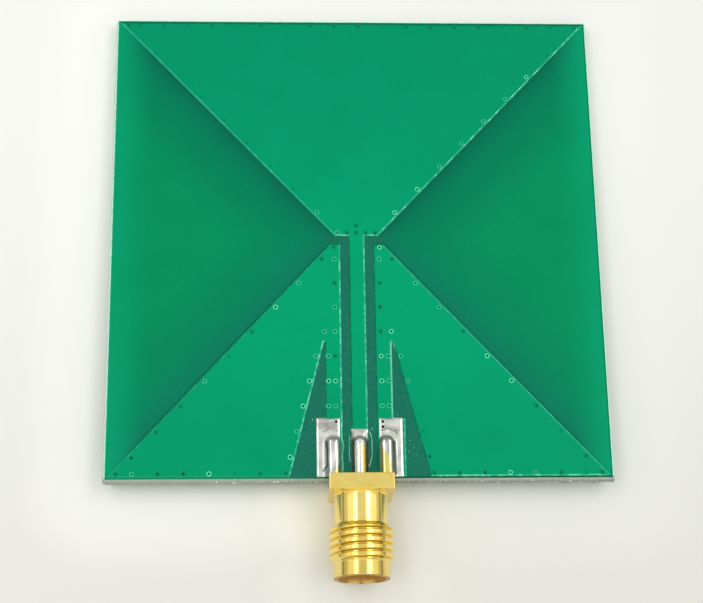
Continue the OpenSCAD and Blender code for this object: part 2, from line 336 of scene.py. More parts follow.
# the board's plan, across from the feed line and along from the jack's edge
boardLow, boardHigh = [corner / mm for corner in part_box("substrate")]
faceLow, faceHigh = [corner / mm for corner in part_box("front_solder_mask")]
backLow = [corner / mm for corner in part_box("back_solder_mask")][0]
armLow, armHigh = [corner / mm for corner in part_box("front_upper_arm")]
groundLow, groundHigh = [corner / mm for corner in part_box("front_right_ground")]
padLow, padHigh = [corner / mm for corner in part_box("front_right_solder")]
stripLow, stripHigh = [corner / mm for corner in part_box("centre_solder")]
flangeHigh = [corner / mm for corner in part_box("jack_body")][1]
contactLow, contactHigh = [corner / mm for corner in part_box("centre_contact")]
edgeY = boardLow.y
middleZ = (boardLow.z + boardHigh.z) / 2
plan = {
    "cornerX": armHigh.x,
    "margin": armLow.y - edgeY,
    "armTop": armHigh.y - edgeY,
    "upperTip": 25.45,
    "upperTipHalf": 2.2,
    "lowerTip": groundHigh.y - edgeY,
    "lowerTipHalf": 2.7,
    "strip": stripHigh.x,
    "groundIn": groundLow.x,
    "slotIn": 3.355,
    "slotLength": 14.4,
    "slotWidth": 3.6,
    "slotBlunt": 0.35,  # the slot's tip is this much short of a point
    "padIn": padLow.x,
    "padOut": padHigh.x,
    "padEnd": padHigh.y - edgeY,
    "stripPadEnd": stripHigh.y - edgeY,
    "padCover": 0.3,
}
upperArm = plan["upperTipHalf"], plan["upperTip"], plan["armTop"]  # half the tip's width, tip and far side
lowerArm = plan["lowerTipHalf"], plan["lowerTip"], plan["margin"]


def turnOver(piece):  # from the front of the board to its back
    startEdit(piece)
    bpy.ops.transform.resize(value=(1, 1, -1), center_override=(0, 0, middleZ))
    bpy.ops.mesh.flip_normals()
    endEdit()


def halfOf(arm, v):  # half of an arm's width at a height
    tipHalf, tip, far = arm
    return tipHalf + (plan["cornerX"] - tipHalf) * ((v - tip) / (far - tip))


def slotOut(v):  # the slanted side of a tapered slot
    return plan["slotIn"] + plan["slotWidth"] * (plan["slotLength"] - v) / plan["slotLength"]


def onUpperArm(x, v):
    return plan["upperTip"] < v < plan["armTop"] and abs(x) < halfOf(upperArm, v)


def onLowerArm(x, v):
    return plan["margin"] < v < plan["lowerTip"] and abs(x) < halfOf(lowerArm, v)


def onFrontCopper(x, v):
    rightSide, x = x > 0, abs(x)
    onStrip = x < plan["strip"] and plan["margin"] < v < plan["upperTip"]
    inSlot = plan["slotIn"] < x < slotOut(v) and v < plan["slotLength"] - plan["slotBlunt"]
    tabEnd = plan["padOut"] + (plan["padCover"] if rightSide else 0)
    onTab = plan["slotIn"] < x < tabEnd and plan["margin"] < v < plan["padEnd"]
    onGround = onLowerArm(x, v) and x > plan["groundIn"] and not inSlot
    return onUpperArm(x, v) or onStrip or onGround or onTab


def onBackCopper(x, v):
    return onUpperArm(x, v) or onLowerArm(x, v)


def onGroundPad(x, v):
    return plan["padIn"] < abs(x) < plan["padOut"] and plan["margin"] < v < plan["padEnd"]


def onStripPad(x, v):
    return abs(x) < plan["strip"] and plan["margin"] < v < plan["stripPadEnd"]


viaPlan = {
    "pitch": 2.58,
    "edgePitch": 2.5,
    "slantIn": 0.6,
    "edgeIn": 0.36,
    "slotIn": 0.45,
    "fingerIn": 0.62,
    "fingerOut": 0.36,
    "rowStart": 1.63,
    "drill": 0.38,
    "padPitch": 0.54,
    # open, ringed, dark, filled or nearly unseen, in the order of the lists below
    "upperLooks": "rono" "nrnrnrnr" "nonn" "fffnffffnfffnfnfnfff" "rfffff",
    "rightLooks": "ofrrfrdffooorroorrfrrnnnfdffdorfnf",
    "leftLooks": "ffrrforfrrnfrrrooofrrofrdoffnoddrf",
}


def rowBetween(start, end, pitch):  # places at a pitch, closed by one at the far end
    way = 1 if end > start else -1
    last = math.floor((abs(end - start) - 2 * viaPlan["drill"]) / pitch)
    return [start + way * i * pitch for i in range(last + 1)] + [end]


def upperVias():  # up both slants, along the top, across the tip and one at the feed
    pitch, slantIn = viaPlan["pitch"], viaPlan["slantIn"]
    spots = []
    v = plan["upperTip"] + pitch
    while v <= plan["armTop"] - pitch + hair:
        reach = halfOf(upperArm, v) - slantIn
        spots += [(-reach, v), (reach, v)]
        v += pitch
    topRow = plan["armTop"] - viaPlan["edgeIn"]
    topReach = halfOf(upperArm, topRow) - slantIn
    spots += [(x, topRow) for x in rowBetween(topReach, -topReach, pitch)]
    tipRow = plan["upperTip"] + viaPlan["edgeIn"]
    tipReach = halfOf(upperArm, tipRow) - slantIn
    spots += [(i * tipReach / 2, tipRow) for i in range(-2, 3)]
    return spots + [(0, tipRow + 2 * viaPlan["drill"])]


def groundVias():  # tip, slant, finger, slot and near edge of the right ground half
    lowRow = plan["margin"] + viaPlan["edgeIn"]
    tipV = plan["lowerTip"] - viaPlan["edgeIn"]
    spots = [((plan["groundIn"] + halfOf(lowerArm, tipV)) / 2, tipV)]
    v = plan["lowerTip"] - viaPlan["rowStart"]
    while v > lowRow + viaPlan["pitch"] / 2 - hair:
        spots.append((halfOf(lowerArm, v) - viaPlan["slantIn"], v))
        if v > plan["padEnd"] + plan["padCover"] + viaPlan["drill"]:
            spots.append((plan["groundIn"] + viaPlan["fingerIn"], v))
            if v < plan["slotLength"]:
                spots.append((plan["slotIn"] - viaPlan["fingerOut"], v))
            elif v < plan["slotLength"] + viaPlan["pitch"] / 2:
                spots.append((plan["slotIn"], v))
        if v < plan["slotLength"] - viaPlan["drill"]:
            spots.append((slotOut(v) + viaPlan["slotIn"], v))
        v -= viaPlan["pitch"]
    start = slotOut(lowRow) + viaPlan["slotIn"]
    end = halfOf(lowerArm, lowRow) - viaPlan["slantIn"]
    return spots + [(x, lowRow) for x in rowBetween(start, end, viaPlan["edgePitch"])]


def padVias(count):  # open ones in the right pad
    x = plan["padIn"] + viaPlan["edgeIn"]
    return [(x, plan["padEnd"] - viaPlan["edgeIn"] - i * viaPlan["padPitch"]) for i in range(count)]


allVias = upperVias() + [(side * x, v) for side in (1, -1) for x, v in groundVias()]
viaLooks = viaPlan["upperLooks"] + viaPlan["rightLooks"] + viaPlan["leftLooks"]
print("vias", len(allVias), "looks", len(viaLooks))


# green mask finishes
def maskShade(name, colourOf, rough=0.36, specular=0.03):
    finish = Finish(name, Specular_IOR_Level=specular)
    spot = finish.spot()
    peel = finish.noise(spot, 2.2, 3)
    cloud = finish.noise(spot, 0.18, 2)
    base = colourOf(finish, spot)
    clouded = finish.ease(peel * 0.35 + cloud * 0.65, 0.3, 0.7)
    shade = finish.mix(clouded, tint(247, 248, 247), tint(255, 255, 255))
    return finish.give(
        Base_Color=finish.mix(1.0, base, shade, "MULTIPLY"),
        Roughness=rough + (peel - 0.5) * 0.12,
        Normal=finish.bump(peel, 0.12, 0.02))


def overCopper(finish, spot):  # the film over copper is lightest in the middle of the board
    return finish.ramp(
        (finish.axes(spot)[1] - edgeY) / (boardHigh.y - edgeY),
        (0.1, 1, 153, 105), (0.3, 1, 160, 110), (0.5, 1, 160, 110),
        (0.57, 1, 155, 107), (0.74, 2, 150, 104), (0.92, 2, 147, 102))


def overBackCopper(finish, spot):  # the back's foil shows through the laminate
    weave = finish.noise(finish.stretched(spot, 2.4, 2.4, 1), 1.0, 2)
    return finish.fade(weave, 0.35, 0.65, tint(25, 111, 89), tint(31, 117, 95))


def overLaminate(finish, spot):  # painted shade beside the copper, painted light towards the broken edges
    right, y = finish.axes(spot)[:2]
    x, v = abs(right), y - edgeY
    slants = []
    for tipHalf, tip, far in (upperArm, lowerArm):  # how far outside of each arm's slanted side
        slope = (plan["cornerX"] - tipHalf) / (far - tip)
        slants.append((x - tipHalf - (v - tip) * slope) / math.hypot(1, slope))
    near = finish.least(*slants)
    # painted shade, darkest next to the copper
    besideUpper = finish.ramp(
        near / 10,
        (0.0, 4, 102, 75), (0.02, 5, 106, 78), (0.08, 5, 115, 83),
        (0.22, 3, 126, 87), (0.45, 3, 131, 90), (0.85, 3, 141, 92))
    besideLower = finish.ramp(
        near / 10,
        (0.0, 4, 104, 76), (0.012, 6, 108, 80), (0.03, 14, 120, 93),
        (0.22, 5, 130, 92), (0.45, 3, 134, 91), (0.85, 3, 141, 92))
    inner = finish.fade(v, plan["lowerTip"] - 2, plan["upperTip"] + 2, besideLower, besideUpper)
    toEdge = finish.least(faceHigh.x - x, finish.least(v, faceHigh.y - edgeY - v))
    edge = 1 - finish.ease(toEdge, -0.6, 4.2)
    weave = finish.node("ShaderNodeTexChecker", None, {
        "Vector": spot, "Color1": (1, 1, 1, 1), "Color2": (0.94, 0.955, 0.95, 1), "Scale": 2.0})
    # painted light, rising towards the board's outer edges
    soft = finish.mix(edge, inner, tint(4, 155, 108))
    between = finish.ease(v, plan["lowerTip"] - 0.2, plan["lowerTip"] + 0.3)  # painted shade in the gap between the arms' tips
    between *= 1 - finish.ease(v, plan["upperTip"] - 0.3, plan["upperTip"] + 0.2)
    soft = finish.mix(between * (1 - finish.ease(x, 1.6, 4.2)), soft, tint(28, 113, 90))
    farRight = finish.most(finish.ease(v, 49.5, 49.75), finish.ease(right, 24.6, 24.8)) * 0.7
    nearEdge = (1 - finish.ease(v, 0.3, 0.36)) * (0.3 + finish.ease(right, -12, 4) * 0.7)
    soft = finish.mix(finish.most(farRight, nearEdge), soft, tint(10, 88, 60))  # edges in the shade
    return finish.mix(0.35, soft, weave, "MULTIPLY")


def overStep(first, second):  # the thin film on the copper's edges, with painted light and shade: paler in patches, dim at the near left
    def colourOf(finish, spot):
        x, y = finish.axes(spot)[:2]
        patchy = finish.fade(finish.noise(spot, 1.5, 3), 0.42, 0.66, first, second)
        slotLine = finish.stroke(x, y - edgeY, (plan["slotIn"], 6.5), (plan["slotIn"], 13.8), 0.4)
        patchy = finish.mix(slotLine * 0.5, patchy, tint(132, 220, 186))  # painted highlight, brightest beside the right slot
        # painted shade at the near left
        near = 1 - finish.ease(y, edgeY + 0.5, edgeY + 0.7)
        nearLeft = near * (1 - finish.ease(x, -10, 2))
        return finish.mix(nearLeft, patchy, tint(30, 150, 110))
    return colourOf


def plainTint(first, second):  # two tints in fine patches
    def colourOf(finish, spot):
        return finish.fade(finish.noise(spot, 6.0, 2), 0.3, 0.7, first, second)
    return colourOf


maskFinishes = [
    maskShade("maskOverCopper", overCopper),
    maskShade("maskOverBackCopper", overBackCopper),
    maskShade("maskOverLaminate", overLaminate),
]
# painted light and shade: the edge film in lit, side-lit, shaded and faint copies, a bright pad rim, bright
# via rims and dark via wells
for name, film, first, second, rough, specular in (
        ("maskLitEdge", overStep, (34, 170, 128), (106, 212, 172), 0.3, 0.04),
        ("maskSideEdge", overStep, (34, 166, 126), (56, 178, 140), 0.3, 0.04),
        ("maskShadedEdge", overStep, (5, 108, 79), (9, 128, 93), 0.3, 0.04),
        ("maskFaintEdge", overStep, (10, 144, 106), (34, 160, 122), 0.3, 0.04),
        ("maskPadEdge", plainTint, (176, 228, 206), (214, 246, 230), 0.3, 0.1),
        ("maskViaRim", plainTint, (70, 208, 152), (96, 220, 170), 0.3, 0.04),
        ("maskViaSoftRim", plainTint, (42, 180, 132), (64, 192, 146), 0.3, 0.05),
        ("maskViaDim", plainTint, (3, 140, 97), (5, 134, 93), 0.3, 0.05),
        ("maskViaWell", plainTint, (3, 74, 53), (6, 92, 66), 0.4, 0.03),
        ("maskViaHollow", plainTint, (3, 112, 80), (5, 124, 88), 0.4, 0.03)):
    maskFinishes.append(maskShade(name, film(tint(*first), tint(*second)), rough, specular))
(copperSkin, backCopperSkin, bareSkin, stepSkin, midStepSkin, dimStepSkin, faintStepSkin, padRimSkin,
 rimSkin, softRimSkin, dimRimSkin, wellSkin, dimWellSkin) = range(len(maskFinishes))
viaSkins = {  # painted highlight on the rim and painted shade in the well, for each look
    "o": {rimSkin: rimSkin, wellSkin: wellSkin},
    "r": {rimSkin: softRimSkin, wellSkin: dimWellSkin},
    "d": {rimSkin: dimRimSkin, wellSkin: wellSkin},
    "f": {rimSkin: dimRimSkin, wellSkin: dimWellSkin},
    "n": {rimSkin: copperSkin, wellSkin: dimRimSkin},
}
stepShades = [  # an edge's skin, the next one, and how far it turns to the light
    (stepSkin, midStepSkin, 0.4), (midStepSkin, dimStepSkin, -0.3), (dimStepSkin, faintStepSkin, -0.8)]
padSkin = len(maskFinishes)


# masks on both faces
maskSheet = {
    "stepRise": 0.022,
    "steps": [(0.04, 0.2), (0.08, 0.6), (0.04, 0.2)],  # width and share of the rise
    "film": 0.03,
    "edgeIn": 0.035,  # bare laminate shows round the mask, but not on the jack's edge
    "viaHole": 0.2,
    "viaSides": 10,
    "drillReach": 0.3,
    "wellReach": 0.105,
    "crater": [  # radius and height
        (0, -0.052), (0.085, -0.046), (0.125, 0.003), (0.23, 0.008),
        (0.305, -0.012), (0.165, -0.055), (0, -0.058)],
    "craterTurns": (0, 6.28),
    "craterSizes": (0.92, 1.05),
    "padHalo": (-0.09, 0, 0.09),  # how far beside a pad its bright rim is looked for
}


def cutAlong(x0, v0, x1, v1, level):  # cuts the sheet along a line of the plan
    cutAll((x0, edgeY + v0, level), Vector((v0 - v1, x1 - x0, 0)).normalized())


def layMask(name, copperTest, padTests, front):  # a film with steps, openings and a crater on each via
    top = faceHigh.z
    level = top - maskSheet["stepRise"]
    wide = faceHigh.x - faceLow.x - 2 * maskSheet["edgeIn"]
    long = faceHigh.y - faceLow.y - maskSheet["edgeIn"]
    startFrom(bpy.ops.mesh.primitive_plane_add, size=1)
    bpy.ops.transform.resize(value=(wide, long, 1))
    bpy.ops.transform.translate(value=(0, faceLow.y + long / 2, level))
    endEdit()
    sheet = named(name)
    for finish in maskFinishes + [maskFinishes[0]]:
        sheet.data.materials.append(finish)
    startEdit(sheet)
    rows = [plan[row] for row in ("margin", "padEnd", "lowerTip", "upperTip", "armTop")]
    columns = [plan["padIn"], plan["padOut"]]
    if front:
        rows += [plan["stripPadEnd"], plan["padEnd"] + plan["padCover"]]
        rows += [plan["slotLength"] - plan["slotBlunt"]]
        columns += [plan["strip"], plan["groundIn"], plan["slotIn"], plan["padOut"] + plan["padCover"]]
    for v in rows:
        cutAlong(-1, v, 1, v, level)
    for side in (-1, 1):
        for x in columns:
            cutAlong(side * x, 0, side * x, 1, level)
        for tipHalf, tip, far in (upperArm, lowerArm):
            cutAlong(side * tipHalf, tip, side * plan["cornerX"], far, level)
        if front:
            cutAlong(side * slotOut(0), 0, side * plan["slotIn"], plan["slotLength"], level)

    def kindOf(face):
        x, y = face.calc_center_median()[:2]
        if any(test(x, y - edgeY) for test in padTests):
            return padSkin
        if copperTest(x, y - edgeY):
            return copperSkin
        return backCopperSkin if front and onLowerArm(x, y - edgeY) else bareSkin

    for skin in (copperSkin, backCopperSkin, bareSkin, padSkin):
        paint(skin, lambda face: kindOf(face) == skin)
    pickAll()
    bpy.ops.mesh.dissolve_limited(angle_limit=math.radians(1), delimit={"MATERIAL"})
    pick("FACE", lambda face: face.material_index in (copperSkin, padSkin))
    for width, share in maskSheet["steps"]:  # the film climbs onto the copper
        bpy.ops.mesh.inset(thickness=width, depth=share * maskSheet["stepRise"], use_boundary=True)

    def lit(face):  # how far a step turns to the light, from the right and the front
        way = face.normal.xy
        return (way.x - way.y) * 0.7 / max(way.length, 0.0001)

    def besidePad(face):
        x, y = face.calc_center_median()[:2]
        halo = [(x + i, y - edgeY + j) for i in maskSheet["padHalo"] for j in maskSheet["padHalo"]]
        return any(test(*spot) for test in padTests for spot in halo)

    # painted light and shade: each step takes a lit or shaded copy of the film by how it faces the light
    paint(stepSkin, lambda face: abs(face.normal.z) < 0.9999)
    for before, after, limit in stepShades:
        paint(after, lambda face: face.material_index == before and lit(face) < limit)
    stepSkins = (stepSkin, midStepSkin, dimStepSkin, faintStepSkin)
    # painted highlight on the steps round the pads
    paint(padRimSkin, lambda face: face.material_index in stepSkins and besidePad(face))
    pick("FACE", lambda face: face.material_index == padSkin)
    bpy.ops.mesh.delete(type="FACE")
    endEdit()
    applyModifier(sheet, "SOLIDIFY", thickness=maskSheet["film"], offset=-1)
    drillEnds = [(0, 0, top + way * maskSheet["drillReach"]) for way in (-1, 1)]
    drillTool = addBar("viaDrill", maskSheet["viaHole"], *drillEnds, "Z", maskSheet["viaSides"])
    drills = [copyAt(drillTool, (x, edgeY + v, 0)) for x, v in allVias]
    bpy.data.objects.remove(drillTool)
    combine(sheet, joinAll(drills, name + "Drills"), "DIFFERENCE")

    crater = turned("viaCrater", maskSheet["crater"], maskSheet["viaSides"], "Z")
    for finish in maskFinishes:
        crater.data.materials.append(finish)
    startEdit(crater)
    # painted highlight on the crater's rim, painted shade in its well
    paint(rimSkin, lambda face: True)
    paint(wellSkin, lambda face: face.calc_center_median().xy.length < maskSheet["wellReach"])
    endEdit()
    craters = []
    looks = viaLooks if front else chance.sample(viaLooks, len(viaLooks))
    for (x, v), look in zip(allVias, looks):
        turn = chance.uniform(*maskSheet["craterTurns"])
        twin = copyAt(crater, (x, edgeY + v, top), turn, chance.uniform(*maskSheet["craterSizes"]))
        for face in twin.data.polygons:
            face.material_index = viaSkins[look][face.material_index]
        craters.append(twin)
    bpy.data.objects.remove(crater)
    sheet = joinAll([sheet] + craters, name)
    if not front:
        turnOver(sheet)
    return sheet


fluxPlan = {
    "lines": [  # radius, then points across and along
        (0.05, (0.96, 4.85), (1.12, 4.45), (1.19, 4.04), (1.2, 3.2), (1.19, 2.37), (0.99, 1.6), (0.68, 0.95)),
        (0.035, (-1.0, 4.4), (-1.03, 3.6), (-1.05, 2.8), (-1.0, 1.75)),
        (0.042, (-1.78, 5.75), (-1.79, 4.27), (-1.61, 3.75), (-1.58, 3.3), (-1.73, 2.5), (-1.63, 0.96)),
        (0.05, (1.17, 5.2), (1.26, 5.0)),
        (0.035, (4.93, 3.95), (5.0, 3.85)),
        (0.035, (3.76, 6.5), (3.82, 6.42)),
        (0.035, (-4.63, 6.15), (-4.63, 5.97)),
        (0.03, (5.3, 3.25), (5.34, 3.15)),
        (0.03, (4.8, 2.9), (4.82, 2.7)),
        (0.03, (5.55, 2.45), (5.6, 2.38)),
    ],
    "sunk": 0.012,  # into the mask
    "swell": (0.6, 1.1),
    "smoothUnder": 60,
}


def drawFlux(radius, line, finish):  # a thin ridge of dried flux on the mask
    drawOutline([(x, edgeY + v, faceHigh.z - fluxPlan["sunk"]) for x, v in line])
    endEdit()
    ridge = named("fluxRidge")
    makeActive(ridge)
    skin = ridge.modifiers.new("skin", "SKIN")
    for point in ridge.data.skin_vertices[0].data:
        point.radius = (radius * chance.uniform(*fluxPlan["swell"]),) * 2
    bpy.ops.object.modifier_apply(modifier=skin.name)
    applyModifier(ridge, "SUBSURF", levels=2)
    dress(ridge, finish)
    smoothBy(ridge, fluxPlan["smoothUnder"])
    return ridge


frontMask = layMask("frontMask", onFrontCopper, [onGroundPad, onStripPad], True)
fluxFinish = maskShade("driedFlux", plainTint(tint(124, 206, 175), tint(184, 234, 214)), 0.25, 0.3)
ridges = [drawFlux(radius, line, fluxFinish) for radius, *line in fluxPlan["lines"]]
frontMask = joinAll([frontMask] + ridges, "frontMask")
settle(frontMask, "solder_mask", "front_solder_mask")
backMask = layMask("backMask", onBackCopper, [onGroundPad], False)
settle(backMask, "solder_mask", "back_solder_mask")


# laminate with scored and broken edges
laminateEdge = {
    "scoreDepth": 0.5,
    "underScore": 0.3,
    "scoreShare": 0.45,
    "segments": 260,
    "webRows": 6,
    "grain": 0.16,
    "grainPull": 0.2,
    "lump": 1.1,
    "lumpPull": 0.16,
    "pullLevel": 0.2,  # the web is broken proud of the board
    "flakes": [(18.6, -1.15), (19.3, -1.3), (21.8, -1.25), (-12.4, -0.9)],  # white chips on the jack's edge
    "flakeReach": 0.26,
    "borderPull": 0.45,  # share of the pull beside the scores
    "flangeRoom": (0.3, 0.5),  # kept flat round the flange, across and along
    "drillReach": 0.2,
    "drillSides": 20,
}


def laminateFinish():
    finish = Finish("glassEpoxy", Specular_IOR_Level=0.35)
    spot = finish.spot()
    x, y, z = finish.axes(spot)
    depth = abs(z - middleZ) / ((boardHigh.z - boardLow.z) / 2)  # 0 in the middle, 1 at the faces
    fibre = finish.noise(finish.stretched(spot, 0.7, 0.7, 9), 1.6, 4, 0.6)
    tuft = finish.noise(spot, 5.5, 4, 0.65)
    chips = finish.ease(tuft * 0.7 + fibre * 0.3, 0.58, 0.66)
    jackSide = 1 - finish.ease(y, edgeY + 0.22, edgeY + 0.4)  # painted shade darkens that edge
    layers = finish.ease(tuft * 0.5 + fibre * 0.5, 0.36, 0.62)
    clean = finish.mix(layers, tint(160, 184, 168), tint(226, 238, 228))
    shadedJackWeb = finish.mix(layers, tint(112, 121, 111), tint(164, 172, 160))
    # painted shade, deepest at the foot of the edge and lifted towards the left
    shadedJackWeb = finish.fade(z, boardLow.z + 0.2, middleZ, tint(108, 117, 108), shadedJackWeb)
    shadedJackWeb = finish.mix((1 - finish.ease(x, -14, 4)) * 0.35, shadedJackWeb, tint(172, 180, 168))
    flakes = finish.ease(finish.noise(spot, 2.2, 2), 0.64, 0.7)
    for left, level in laminateEdge["flakes"]:
        flake = finish.stroke(x, z, (left, level), (left + 0.1, level), laminateEdge["flakeReach"])
        flakes = finish.most(flakes, flake)
    broken = finish.mix(jackSide, clean, shadedJackWeb)
    broken = finish.mix(finish.most(chips * 0.8, flakes * jackSide), broken, tint(234, 236, 226))
    # the scored side edges: the laminate's pale colour with a painted glow of light through it
    mint = finish.fade(fibre, 0.35, 0.65, tint(154, 232, 199), tint(198, 246, 225))
    grey = finish.fade(fibre, 0.35, 0.65, tint(154, 165, 154), tint(182, 191, 178))
    scored = finish.mix(jackSide, mint, grey)
    body = finish.fade(depth + (tuft - 0.5) * 0.25, 0.4, 0.6, broken, scored)
    return finish.give(
        Base_Color=body,
        Roughness=0.55 + tuft * 0.3,
        Normal=finish.bump(tuft * 0.7 + fibre * 0.3, 0.5, 0.12))


laminate = addBlock("scoredLaminate", boardLow, boardHigh)
startEdit(laminate)
pick("FACE", lambda face: abs(face.normal.z) > 0.5)
bpy.ops.mesh.delete(type="ONLY_FACE")
webTop = boardHigh.z - laminateEdge["scoreDepth"]
webLow = boardLow.z + laminateEdge["underScore"]
scoreTop, scoreLow = (webTop + boardHigh.z) / 2, (webLow + boardLow.z) / 2
webRows = laminateEdge["webRows"]
webLevels = [webLow + (webTop - webLow) * i / webRows for i in range(webRows + 1)]
for level in webLevels + [scoreTop, scoreLow]:
    cutAll((0, 0, level), (0, 0, 1))
pick("EDGE", lambda edge: abs(edge.verts[0].co.z - edge.verts[1].co.z) < hair)
bpy.ops.mesh.subdivide(number_cuts=laminateEdge["segments"])
scoreIn = (boardHigh.x - faceHigh.x) * laminateEdge["scoreShare"]
middleOfBoard = (0, (boardLow.y + boardHigh.y) / 2, 0)
for level in (boardLow.z, scoreLow, scoreTop, boardHigh.z):
    inward = scoreIn * (1.0 if level in (boardLow.z, boardHigh.z) else 0.5)
    share = 1 - inward / boardHigh.x
    pick("VERT", lambda point: abs(point.co.z - level) < hair)
    bpy.ops.transform.resize(value=(share, share, 1), center_override=middleOfBoard)
for level in (boardLow.z, boardHigh.z):
    pick("EDGE", lambda edge: all(abs(point.co.z - level) < hair for point in edge.verts))
    bpy.ops.mesh.edge_face_add()
faceOut()
endEdit()
roomX, roomY = laminateEdge["flangeRoom"]
web = laminate.vertex_groups.new(name="brokenWeb")
for point in laminate.data.vertices:
    behindFlange = abs(point.co.x) < flangeHigh.x + roomX and point.co.y < edgeY + roomY
    if webLow - 0.01 < point.co.z < webTop + 0.01 and not behindFlange:
        inWeb = webLow + 0.01 < point.co.z < webTop - 0.01
        web.add([point.index], 1.0 if inWeb else laminateEdge["borderPull"], "REPLACE")
for size, pull in (("grain", "grainPull"), ("lump", "lumpPull")):
    roughness = bpy.data.textures.new("broken" + size.title(), "CLOUDS")
    roughness.noise_scale = laminateEdge[size]
    roughness.noise_depth = 3
    applyModifier(
        laminate, "DISPLACE", texture=roughness, texture_coords="LOCAL", strength=laminateEdge[pull],
        mid_level=laminateEdge["pullLevel"], vertex_group="brokenWeb")
laminate.vertex_groups.clear()
padCounts = {-1: 1, 1: 2}  # open vias in the left and right pads
for side, count in padCounts.items():
    for x, v in padVias(count):
        foot = (side * x, edgeY + v, boardLow.z - laminateEdge["drillReach"])
        top = (side * x, edgeY + v, boardHigh.z + laminateEdge["drillReach"])
        drill = addBar("padDrill", viaPlan["drill"] / 2, foot, top, "Z", laminateEdge["drillSides"])
        combine(laminate, drill, "DIFFERENCE")
dress(laminate, laminateFinish())
settle(laminate, "laminate", "substrate")


# jack body
jack = {
    # outlines of radius and distance from the mouth
    "rimOutline": [(0, 0), (2.69, 0), (2.72, 0.036), (2.75, 0.096), (2.75, 1.65), (0, 1.65)],
    "threadOutline": [
        (0, 1.35), (2.65, 1.35), (3.13, 1.75), (3.15, 1.81), (3.15, 4.7), (2.545, 5.25), (0, 5.25)],
    "neckOutline": [
        (0, 4.85), (2.625, 4.85), (2.625, 8.01), (2.665, 8.11), (2.785, 8.18), (2.785, 8.65), (0, 8.65)],
    "rimEnd": 1.35,
    "threadEnd": 5.25,
    "threadPitch": 0.7056,
    "threadTurn": [  # radius and share of the pitch, from groove to groove
        (2.8, 0.0), (2.8, 0.03), (3.11, 0.22), (3.17, 0.3),
        (3.17, 0.7), (3.11, 0.78), (2.8, 0.97), (2.8, 1.0)],
    "threadPhase": 0.62,  # share of a turn, so that the last groove runs out at the rim
    "threadTrim": 0.02,
    "flangeFront": 8.15,
    "flangeHalf": 3.175,
    "flangeCorner": 0.15,
    "flangeBevel": 0.07,
    "mouth": 2.3,
    "mouthDepth": 1.9,
    "lipGlints": [(-1.15, -0.5), (0.5, 1.2)],  # two bright stretches on the lower lip
    "lipGlintLevel": -2.25,
    "lipGlintReach": 0.5,
    "bore": 2.05,
    "toolReach": 0.5,
    "legHalf": 0.51,
    "legX": 2.62,
    "legHeight": 1.0,
    "legEnd": 13.75,
    "legRound": 0.6,
    "legShoulder": 0.55,
    "legFilm": 0.05,
    "legInFlange": 0.8,
    "sides": 96,
    "smoothUnder": 17,
}
frontCopperZ = armHigh.z
goldTints = {
    "deep": (0.9, 0.68, 0.17, 1),
    "pale": (0.95, 0.76, 0.23, 1),
    "rimAndThread": (0.81, 0.6, 0.13, 1),
    "rim": (0.62, 0.48, 0.13, 1),
    "groove": (0.6, 0.54, 0.22, 1),
    "sideSheen": (1.0, 0.8, 0.3, 1),
    "mouth": (0.7, 0.42, 0.09, 1),
    "throat": (0.4, 0.2, 0.035, 1),
    "lip": (0.46, 0.26, 0.06, 1),
    "glint": (1.0, 0.77, 0.3, 1),
}


